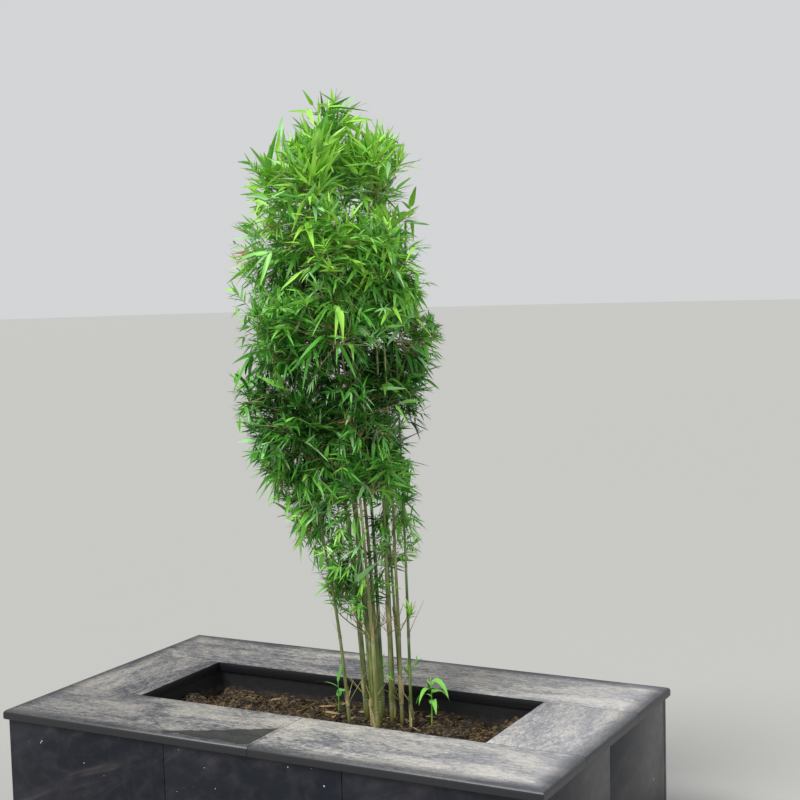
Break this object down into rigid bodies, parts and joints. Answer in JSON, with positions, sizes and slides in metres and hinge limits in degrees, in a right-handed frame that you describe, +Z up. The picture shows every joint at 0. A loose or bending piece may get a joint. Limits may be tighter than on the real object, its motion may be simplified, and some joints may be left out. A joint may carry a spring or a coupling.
{
  "type": "potted bamboo",
  "caption": "Clump of garden bamboo with upright leaning culms and a dense narrow crown, growing in a long low masonry planter with stone coping and polished facing tiles.",
  "frame": {"origin": "middle of the planter's flat underside, on the surface it stands on", "axes": "+X along the planter's long side, +Y towards its back, +Z up"},
  "size_m": [1.8, 1.03, 2.3317],
  "materials": {
    "coping": "matte",
    "facing": "polished",
    "shell": "matte",
    "soil": "matte",
    "culm": "satin",
    "foliage": "satin"
  },
  "bodies": {
    "root": {"coping_back_1": "coping", "coping_back_2": "coping", "coping_front_1": "coping", "coping_front_2": "coping", "coping_left": "coping", "coping_right": "coping", "culm_01": "culm", "culm_02": "culm", "culm_03": "culm", "culm_04": "culm", "culm_05": "culm", "culm_06": "culm", "culm_07": "culm", "culm_08": "culm", "culm_09": "culm", "culm_10": "culm", "culm_11": "culm", "culm_12": "culm", "culm_13": "culm", "facing_back_1": "facing", "facing_back_2": "facing", "facing_back_3": "facing", "facing_front_1": "facing", "facing_front_2": "facing", "facing_front_3": "facing", "facing_left_1": "facing", "facing_left_2": "facing", "facing_right_1": "facing", "facing_right_2": "facing", "foliage_01": "foliage", "foliage_02": "foliage", "foliage_03": "foliage", "foliage_04": "foliage", "foliage_05": "foliage", "foliage_06": "foliage", "foliage_07": "foliage", "foliage_08": "foliage", "foliage_09": "foliage", "foliage_10": "foliage", "foliage_11": "foliage", "foliage_12": "foliage", "foliage_13": "foliage", "foliage_14": "foliage", "foliage_15": "foliage", "foliage_16": "foliage", "foliage_17": "foliage", "foliage_18": "foliage", "foliage_19": "foliage", "foliage_20": "foliage", "foliage_21": "foliage", "foliage_22": "foliage", "foliage_23": "foliage", "foliage_24": "foliage", "foliage_25": "foliage", "foliage_26": "foliage", "foliage_27": "foliage", "planter_shell": "shell", "shoot_left": "foliage", "shoot_right": "foliage", "soil": "soil"}
  },
  "joints": []
}
